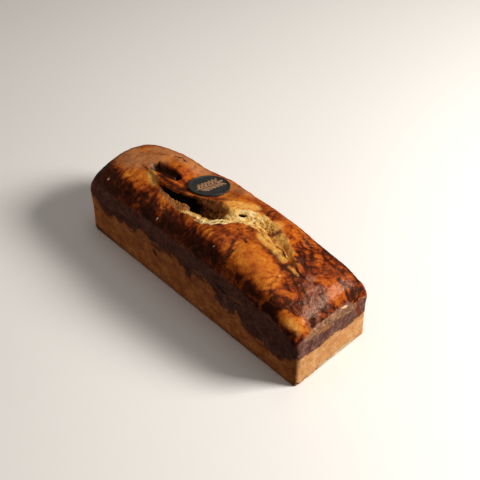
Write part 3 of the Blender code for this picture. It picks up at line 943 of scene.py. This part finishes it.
class Shader:
    """Adds nodes to one material and links them together."""

    def __init__(self, name):
        self.material = bpy.data.materials.new(name)
        self.material.use_nodes = True
        self.tree = self.material.node_tree
        self.surface = self.tree.nodes["Principled BSDF"]
        self.place = self.tree.nodes.new("ShaderNodeTexCoord").outputs["Object"]

    def put(self, socket, value):
        """Link a node's output to a socket, or set the socket to a plain value."""
        if isinstance(value, bpy.types.NodeSocket):
            self.tree.links.new(value, socket)
        else:
            socket.default_value = value

    def mask(self, name):
        """One of the masks painted on the mesh."""
        node = self.tree.nodes.new("ShaderNodeAttribute")
        node.attribute_name = name
        return node.outputs["Fac"]

    def noise(self, size, detail=2.0, stretch=(1, 1, 1)):
        """Noise between 0 and 1 with features of the given size in millimetres."""
        scaled = self.tree.nodes.new("ShaderNodeMapping")
        scaled.inputs["Scale"].default_value = stretch
        self.put(scaled.inputs["Vector"], self.place)
        node = self.tree.nodes.new("ShaderNodeTexNoise")
        node.inputs["Scale"].default_value = 1 / (size * MM)
        node.inputs["Detail"].default_value = detail
        self.put(node.inputs["Vector"], scaled.outputs["Vector"])
        return node.outputs["Fac"]

    def cells(self, size):
        """Distance to the nearest of scattered points, for pores."""
        node = self.tree.nodes.new("ShaderNodeTexVoronoi")
        node.inputs["Scale"].default_value = 1 / (size * MM)
        self.put(node.inputs["Vector"], self.place)
        return node.outputs["Distance"]

    def maths(self, operation, first, second=0.0, clamp=False):
        """One math node."""
        node = self.tree.nodes.new("ShaderNodeMath")
        node.operation = operation
        node.use_clamp = clamp
        self.put(node.inputs[0], first)
        self.put(node.inputs[1], second)
        return node.outputs["Value"]

    def plus(self, first, second):
        """The sum of two numbers."""
        return self.maths("ADD", first, second)

    def times(self, first, second):
        """The product of two numbers."""
        return self.maths("MULTIPLY", first, second)

    def sway(self, value, amount):
        """A number from 0 to 1, turned into one around 0 that sways by the amount."""
        return self.times(self.maths("SUBTRACT", value, 0.5), amount)

    def between(self, value, low, high):
        """0 below low, 1 above high, with a soft step between."""
        node = self.tree.nodes.new("ShaderNodeMapRange")
        node.interpolation_type = "SMOOTHSTEP"
        self.put(node.inputs["Value"], value)
        node.inputs["From Min"].default_value = low
        node.inputs["From Max"].default_value = high
        return node.outputs["Result"]

    def scatter(self, mask, size, amount, low, high):
        """A painted mask whose edge is broken up by noise."""
        return self.between(self.plus(mask, self.sway(self.noise(size, 3), amount)), low, high)

    def mix(self, factor, first, second, blend="MIX"):
        """A blend of two colours."""
        node = self.tree.nodes.new("ShaderNodeMix")
        node.data_type = "RGBA"
        node.blend_type = blend
        for name, value in (("Factor_Float", factor), ("A_Color", first), ("B_Color", second)):
            self.put(next(s for s in node.inputs if s.identifier == name), value)
        return next(s for s in node.outputs if s.identifier == "Result_Color")

    def blend(self, factor, first, second):
        """A blend of two numbers."""
        node = self.tree.nodes.new("ShaderNodeMix")
        self.put(node.inputs["Factor"], factor)
        self.put(node.inputs["A"], first)
        self.put(node.inputs["B"], second)
        return node.outputs["Result"]

    def ramp(self, factor, stops):
        """A colour for each value of the factor, through (value, colour) stops."""
        node = self.tree.nodes.new("ShaderNodeValToRGB")
        elements = node.color_ramp.elements
        while len(elements) < len(stops):
            elements.new(0.5)
        for element, (at, shade) in zip(elements, stops):
            element.position = at
            element.color = shade
        self.put(node.inputs["Fac"], factor)
        return node.outputs["Color"]

    def bump(self, height, distance):
        """A normal from a height between 0 and 1, standing distance millimetres high."""
        node = self.tree.nodes.new("ShaderNodeBump")
        node.inputs["Distance"].default_value = distance * MM
        self.put(node.inputs["Height"], height)
        return node.outputs["Normal"]

    def finish(self, **sockets):
        """Set or link the surface's sockets and return the material."""
        for name, value in sockets.items():
            self.put(self.surface.inputs[name.replace("_", " ")], value)
        return self.material


def loaf_material():
    """Crust, crumb, cocoa band and wall skin, each where the painted masks put it, with painted light: a paler
    lit end, painted sheen, glints and highlights, and painted shade in the gash and along the foot.
    """
    s = Shader("loaf_surface")
    grain = s.noise(0.9, 3)
    mottle = s.noise(2.6, 4)
    coarse = s.noise(8, 3)
    specks = s.between(s.noise(1.3, 2), 0.62, 0.74)

    skin_tone = s.plus(s.times(coarse, 0.45), s.plus(s.times(mottle, 0.4), s.times(grain, 0.15)))
    # Side skin and a paler copy for the +X end; the end's paleness is partly painted light, partly a lighter
    # bake.
    side_skin = s.ramp(skin_tone, (
        (0.36, colour(160, 86, 42)), (0.5, colour(202, 116, 57)), (0.64, colour(236, 154, 86)),
    ))
    lit_end_skin = s.ramp(skin_tone, (
        (0.36, colour(212, 142, 82)), (0.5, colour(236, 170, 108)), (0.64, colour(250, 202, 146)),
    ))
    skin = s.mix(s.mask("lit_end"), side_skin, lit_end_skin)
    skin = s.mix(s.times(specks, 0.35), skin, colour(132, 72, 38))
    skin = s.mix(s.scatter(s.mask("dark"), 2.2, 0.5, 0.15, 0.9), skin, colour(84, 44, 32))
    # Painted shade along the foot of the -Y wall.
    skin = s.mix(s.times(s.mask("foot"), 0.5), skin, colour(96, 46, 20))
    skin = s.mix(s.times(s.scatter(s.mask("soak"), 2.0, 0.6, 0.3, 0.9), 0.85), skin, colour(90, 41, 19))

    band_tone = s.plus(s.times(coarse, 0.35), s.plus(s.times(mottle, 0.4), s.times(grain, 0.25)))
    # Band on the sides and a paler copy for the +X end, painted lighter there for the light that falls on it.
    side_band = s.ramp(band_tone, (
        (0.38, colour(60, 32, 28)), (0.5, colour(102, 58, 49)), (0.62, colour(152, 96, 80)),
    ))
    lit_end_band = s.ramp(band_tone, (
        (0.38, colour(78, 46, 40)), (0.5, colour(120, 80, 70)), (0.62, colour(170, 124, 108)),
    ))
    band_shade = s.mix(s.mask("lit_end"), side_band, lit_end_band)
    band_shade = s.mix(s.scatter(s.mask("dark"), 2.2, 0.5, 0.15, 0.9), band_shade, colour(36, 16, 13))
    # Painted sheen: a paler mauve over the band's upper part, standing for reflected light.
    band_shade = s.mix(s.times(s.mask("painted_band_sheen"), s.between(mottle, 0.25, 0.75)), band_shade, colour(118, 76, 62))
    band = s.scatter(s.mask("band"), 2.3, 0.85, 0.22, 0.85)
    base = s.mix(band, skin, band_shade)
    ochre = s.scatter(s.mask("ochre"), 2.0, 0.9, 0.25, 0.95)
    base = s.mix(s.times(ochre, 0.8), base, s.ramp(mottle, (
        (0.35, colour(150, 86, 40)), (0.7, colour(205, 140, 66)),
    )))
    tan = s.scatter(s.mask("tan"), 1.8, 0.8, 0.3, 0.8)
    base = s.mix(s.times(tan, 0.85), base, s.ramp(mottle, (
        (0.3, colour(112, 76, 58)), (0.52, colour(156, 114, 84)), (0.72, colour(196, 150, 104)),
    )))
    base = s.mix(s.scatter(s.mask("rust"), 1.8, 0.6, 0.25, 0.9), base, colour(128, 62, 38))

    bake = s.plus(s.mask("bake"), s.plus(s.sway(grain, 0.26), s.sway(mottle, 0.42)))
    crust = s.ramp(bake, (
        (0.0, colour(228, 158, 66)), (0.2, colour(206, 120, 34)), (0.4, colour(180, 88, 22)),
        (0.6, colour(138, 56, 15)), (0.8, colour(86, 31, 9)), (1.0, colour(46, 16, 6)),
    ))
    # Pale yellow crust, with one patch of painted light at the near front corner.
    yellow_and_painted_light = s.times(s.mask("yellow_and_painted_light"), s.between(mottle, 0.0, 0.55))
    crust = s.mix(yellow_and_painted_light, crust, s.ramp(mottle, (
        (0.32, colour(212, 142, 58)), (0.55, colour(226, 166, 80)), (0.72, colour(236, 192, 112)),
    )))
    # Painted sheen: paler, greyer crust for light reflected at grazing angles.
    painted_pale_sheen = s.times(s.scatter(s.mask("painted_pale_sheen"), 3.5, 0.9, 0.1, 1.0), 0.42)
    crust = s.mix(painted_pale_sheen, crust, colour(208, 154, 104))
    cocoa = s.scatter(s.mask("cocoa"), 1.6, 0.7, 0.2, 0.8)
    crust = s.mix(cocoa, crust, s.ramp(mottle, ((0.35, colour(44, 18, 10)), (0.7, colour(86, 36, 18)))))
    # Painted sheen: greyish violet over the crust where it reflects light.
    painted_crown_sheen = s.times(s.scatter(s.mask("painted_crown_sheen"), 2.4, 0.8, 0.25, 0.9), 0.72)
    crust = s.mix(painted_crown_sheen, crust, s.ramp(mottle, (
        (0.34, colour(92, 50, 40)), (0.52, colour(138, 82, 62)), (0.72, colour(178, 124, 100)),
    )))
    crust_share = s.scatter(s.mask("crust"), 2.2, 0.6, 0.3, 0.75)
    base = s.mix(crust_share, base, crust)

    tone = s.plus(s.mask("tone"), s.plus(s.sway(grain, 0.25), s.sway(mottle, 0.25)))
    crumb_shade = s.ramp(tone, (
        (0.0, colour(240, 212, 150)), (0.22, colour(226, 174, 88)), (0.48, colour(176, 116, 48)),
        (0.7, colour(156, 96, 52)), (1.0, colour(78, 36, 16)),
    ))
    crumb = s.scatter(s.mask("crumb"), 1.2, 0.5, 0.3, 0.65)
    base = s.mix(crumb, base, crumb_shade)
    base = s.mix(s.times(s.mask("pore"), 0.55), base, colour(110, 58, 28), "MULTIPLY")
    # Pale torn crumb, also carrying the painted glints and highlights.
    base = s.mix(s.scatter(s.mask("torn"), 1.2, 0.6, 0.25, 0.7), base, colour(240, 208, 164))
    base = s.mix(s.scatter(s.mask("pits"), 0.8, 0.3, 0.4, 0.8), base, colour(84, 42, 22))
    # Painted shade: near black in the gash's depths, under the plaque and in the holes.
    base = s.mix(s.scatter(s.mask("cavity_shade"), 1.5, 0.25, 0.1, 1.0), base, colour(9, 4, 3))

    rough = s.blend(s.mask("crust"), 0.6, 0.3)
    rough = s.blend(crumb, rough, 0.85)
    rough = s.maths("ADD", rough, s.sway(mottle, 0.25), True)
    fine = s.noise(0.5, 3)
    peel = s.plus(s.times(s.noise(1.6, 2), 0.7), s.times(fine, 0.25))
    crumbly = s.plus(s.times(s.cells(1.4), 0.9), fine)
    s.surface.inputs["Specular IOR Level"].default_value = 0.24
    s.surface.inputs["Specular Tint"].default_value = (1.0, 0.74, 0.55, 1.0)
    return s.finish(Base_Color=base, Roughness=rough, Normal=s.bump(s.blend(crumb, peel, crumbly), 0.45))


def plaque_material():
    """Dark moulded tile with faint mottling."""
    s = Shader("plaque_face")
    mottle = s.noise(2.5, 4)
    face = s.ramp(mottle, ((0.3, colour(32, 34, 34)), (0.7, colour(50, 51, 50))))
    rough = s.plus(s.times(mottle, 0.2), 0.35)
    return s.finish(Base_Color=face, Roughness=rough, Normal=s.bump(s.noise(0.6, 3), 0.06))


def sprig_material():
    """Bronze print, a little worn."""
    s = Shader("sprig_bronze")
    worn = s.noise(1.2, 4)
    face = s.ramp(worn, ((0.3, colour(112, 80, 56)), (0.7, colour(176, 134, 98))))
    rough = s.plus(s.times(worn, 0.2), 0.4)
    return s.finish(Base_Color=face, Roughness=rough, Normal=s.bump(worn, 0.05))


def floor_material():
    """Plain pale matt floor."""
    s = Shader("floor_surface")
    face = s.ramp(s.noise(400, 1), ((0.3, colour(244, 243, 242)), (0.7, colour(247, 246, 245))))
    return s.finish(Base_Color=face, Roughness=0.9)


# ---------------------------------------------------------------------------------------------
# The plaque
# ---------------------------------------------------------------------------------------------

PLAQUE_SEGMENTS = 160
EDGE_STEPS = 5

# The wheat ear on the plaque's face: its stem, and the size, spacing and lean of its grains.
STEM_START, STEM_END = (0.0, -16.2), (0.0, 9.0)
STEM_WIDTH = 1.1
GRAIN_PAIRS = 6
GRAIN_FIRST, GRAIN_STEP = -12.5, 4.0
GRAIN_LENGTH, GRAIN_WIDTH = 9.8, 3.1
GRAIN_LEAN = math.radians(50)
RELIEF_HEIGHT = 0.28
RELIEF_ROOT = 0.05


def plaque_frame():
    """Matrix that puts a disc lying at the origin where the plaque lies, in millimetres."""
    turn = Vector((0, 0, 1)).rotation_difference(Vector(PLAQUE_NORMAL))
    return Matrix.Translation(PLAQUE_CENTRE.tolist()) @ turn.to_matrix().to_4x4()


def placed(points):
    """Points of a disc lying at the origin, moved to where the plaque lies."""
    turn = np.array(plaque_frame())
    return np.array(points) @ turn[:3, :3].T + turn[:3, 3]


def plaque_profile():
    """(radius, height) round the plaque's section, from the underside's middle to the face's."""
    rounding = PLAQUE_RIM_HEIGHT / 2
    inner = PLAQUE_RADIUS - PLAQUE_RIM_WIDTH
    bottom, top = -PLAQUE_THICKNESS, PLAQUE_RIM_HEIGHT
    profile = [(6.0, bottom)]
    for t in np.linspace(0, math.pi / 2, EDGE_STEPS):
        profile.append((PLAQUE_RADIUS - rounding * (1 - math.sin(t)), bottom + rounding * (1 - math.cos(t))))
    for t in np.linspace(0, math.pi / 2, EDGE_STEPS):
        profile.append((PLAQUE_RADIUS - rounding * (1 - math.cos(t)), top - rounding * (1 - math.sin(t))))
    for t in np.linspace(0, math.pi / 2, EDGE_STEPS):
        profile.append((inner + rounding * (1 - math.sin(t)), top - rounding * (1 - math.cos(t))))
    return profile + [(radius, 0.0) for radius in np.linspace(inner - rounding, 1.0, 8)]


def make_plaque():
    """The plaque: a turned disc with a rounded rim round a flat field."""
    profile = plaque_profile()
    turns = np.linspace(0, 2 * math.pi, PLAQUE_SEGMENTS, endpoint=False)
    points = [(r * math.cos(t), r * math.sin(t), h) for r, h in profile for t in turns]
    count = PLAQUE_SEGMENTS
    faces = []
    for ring in range(len(profile) - 1):
        low, high = ring * count, (ring + 1) * count
        for k in range(count):
            following = (k + 1) % count
            faces.append((low + k, low + following, high + following, high + k))
    faces.append(tuple(range(count - 1, -1, -1)))
    top = (len(profile) - 1) * count
    faces.append(tuple(range(top, top + count)))
    plaque = make_mesh("plaque_tile", placed(points), faces)
    plaque.data.materials.append(plaque_material())
    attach(plaque, "root")
    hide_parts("plaque")


def add_grain(points, faces, start, end, width):
    """Add a low pointed dome that lies on the plaque's field between two points."""
    start, end = np.array(start, float), np.array(end, float)
    along = end - start
    across = np.array((-along[1], along[0])) / np.linalg.norm(along)
    turns = np.linspace(0, 2 * math.pi, 20, endpoint=False)
    share = 0.5 - 0.5 * np.cos(turns)
    aside = width / 2 * np.sign(np.sin(turns)) * np.abs(np.sin(turns)) ** 1.3
    outline = start + share[:, None] * along + aside[:, None] * across
    middle = start + 0.5 * along
    first = len(points)
    for scale, height in ((1, -RELIEF_ROOT), (1, 0.35), (0.8, 0.75), (0.4, 1)):
        height = height * RELIEF_HEIGHT if height > 0 else height
        points += [(*(middle + scale * (point - middle)), height) for point in outline]
    count = len(turns)
    for ring in range(3):
        low = first + ring * count
        for k in range(count):
            following = (k + 1) % count
            faces.append((low + following, low + k, low + count + k, low + count + following))
    faces.append(tuple(first + k for k in range(count)))
    faces.append(tuple(first + 3 * count + k for k in reversed(range(count))))


def make_sprig():
    """The raised wheat ear on the plaque's face."""
    points, faces = [], []
    add_grain(points, faces, STEM_START, STEM_END, STEM_WIDTH)
    for pair in range(GRAIN_PAIRS):
        foot = GRAIN_FIRST + GRAIN_STEP * pair
        for side in (-1, 1):
            tip = (
                side * GRAIN_LENGTH * math.sin(GRAIN_LEAN),
                foot + GRAIN_LENGTH * math.cos(GRAIN_LEAN),
            )
            add_grain(points, faces, (side * 0.5, foot), tip, GRAIN_WIDTH)
    top = GRAIN_FIRST + GRAIN_STEP * GRAIN_PAIRS
    add_grain(points, faces, (0, top - GRAIN_STEP), (0, top + GRAIN_LENGTH * 0.5), GRAIN_WIDTH)
    sprig = make_mesh("plaque_sprig", placed(points), faces)
    sprig.data.materials.append(sprig_material())
    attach(sprig, "root")


# ---------------------------------------------------------------------------------------------
# Floor, light and camera
# ---------------------------------------------------------------------------------------------

CAMERA_TARGET = Vector((10.65, 18.06, 40.0))
CAMERA_AZIMUTH = math.radians(47.70)
CAMERA_ELEVATION = math.radians(43.81)
CAMERA_DISTANCE = 864.62
CAMERA_ROLL = math.radians(1.52)
CAMERA_LENS = 71.25
SENSOR_WIDTH = 36
FLOOR_RADIUS = 4000


def make_floor():
    """A wide pale disc just under the loaf."""
    turns = np.linspace(0, 2 * math.pi, 96, endpoint=False)
    points = np.stack([FLOOR_RADIUS * np.cos(turns), FLOOR_RADIUS * np.sin(turns), np.full(96, -0.1)], -1)
    floor = make_mesh("floor", points, [tuple(range(96))])
    floor.data.materials.append(floor_material())
    floor.visible_diffuse = False
    floor.visible_glossy = False


def aimed(position, target):
    """Matrix that stands at position, in millimetres, and looks at target."""
    position, target = Vector(position), Vector(target)
    turn = (target - position).to_track_quat("-Z", "Y").to_matrix().to_4x4()
    return Matrix.Translation(position * MM) @ turn


def make_light(name, position, size, power, shade, glossy=True):
    """A square area light aimed at the loaf, seen in its gloss or not."""
    data = bpy.data.lights.new(name, "AREA")
    data.shape = "SQUARE"
    data.size = size * MM
    data.energy = power
    data.color = shade
    light = bpy.data.objects.new(name, data)
    light.matrix_world = aimed(position, (0, 0, 50))
    light.visible_glossy = glossy
    bpy.context.scene.collection.objects.link(light)


def make_world(shade, strength):
    """Even light from all round."""
    world = bpy.data.worlds.new("studio")
    world.use_nodes = True
    background = world.node_tree.nodes["Background"]
    background.inputs["Color"].default_value = shade
    background.inputs["Strength"].default_value = strength
    bpy.context.scene.world = world


def make_camera():
    """The camera: off the -Y and +X sides, looking down on the loaf."""
    azimuth, elevation = CAMERA_AZIMUTH, CAMERA_ELEVATION
    back = Vector((
        math.sin(azimuth) * math.cos(elevation),
        -math.cos(azimuth) * math.cos(elevation),
        math.sin(elevation),
    ))
    level = Vector((math.cos(azimuth), math.sin(azimuth), 0))
    upright = back.cross(level)
    right = math.cos(CAMERA_ROLL) * level - math.sin(CAMERA_ROLL) * upright
    up = math.sin(CAMERA_ROLL) * level + math.cos(CAMERA_ROLL) * upright
    data = bpy.data.cameras.new("camera")
    data.lens = CAMERA_LENS
    data.sensor_width = SENSOR_WIDTH
    camera = bpy.data.objects.new("camera", data)
    turn = Matrix((right, up, back)).transposed().to_4x4()
    camera.matrix_world = Matrix.Translation((CAMERA_TARGET + back * CAMERA_DISTANCE) * MM) @ turn
    bpy.context.scene.collection.objects.link(camera)
    bpy.context.scene.camera = camera


make_loaf()
make_plaque()
make_sprig()
make_floor()
make_camera()
make_light("key", (819, 637, 780), 420, 21, (1.0, 0.95, 0.88))
make_light("top", (-100, 60, 950), 700, 1.3, (1.0, 0.97, 0.93))
make_light("fill", (-500, -800, 450), 900, 0.75, (1.0, 0.92, 0.86), glossy=False)
make_world((1.0, 0.86, 0.72, 1.0), 0.095)
bpy.context.scene.view_settings.view_transform = "Standard"
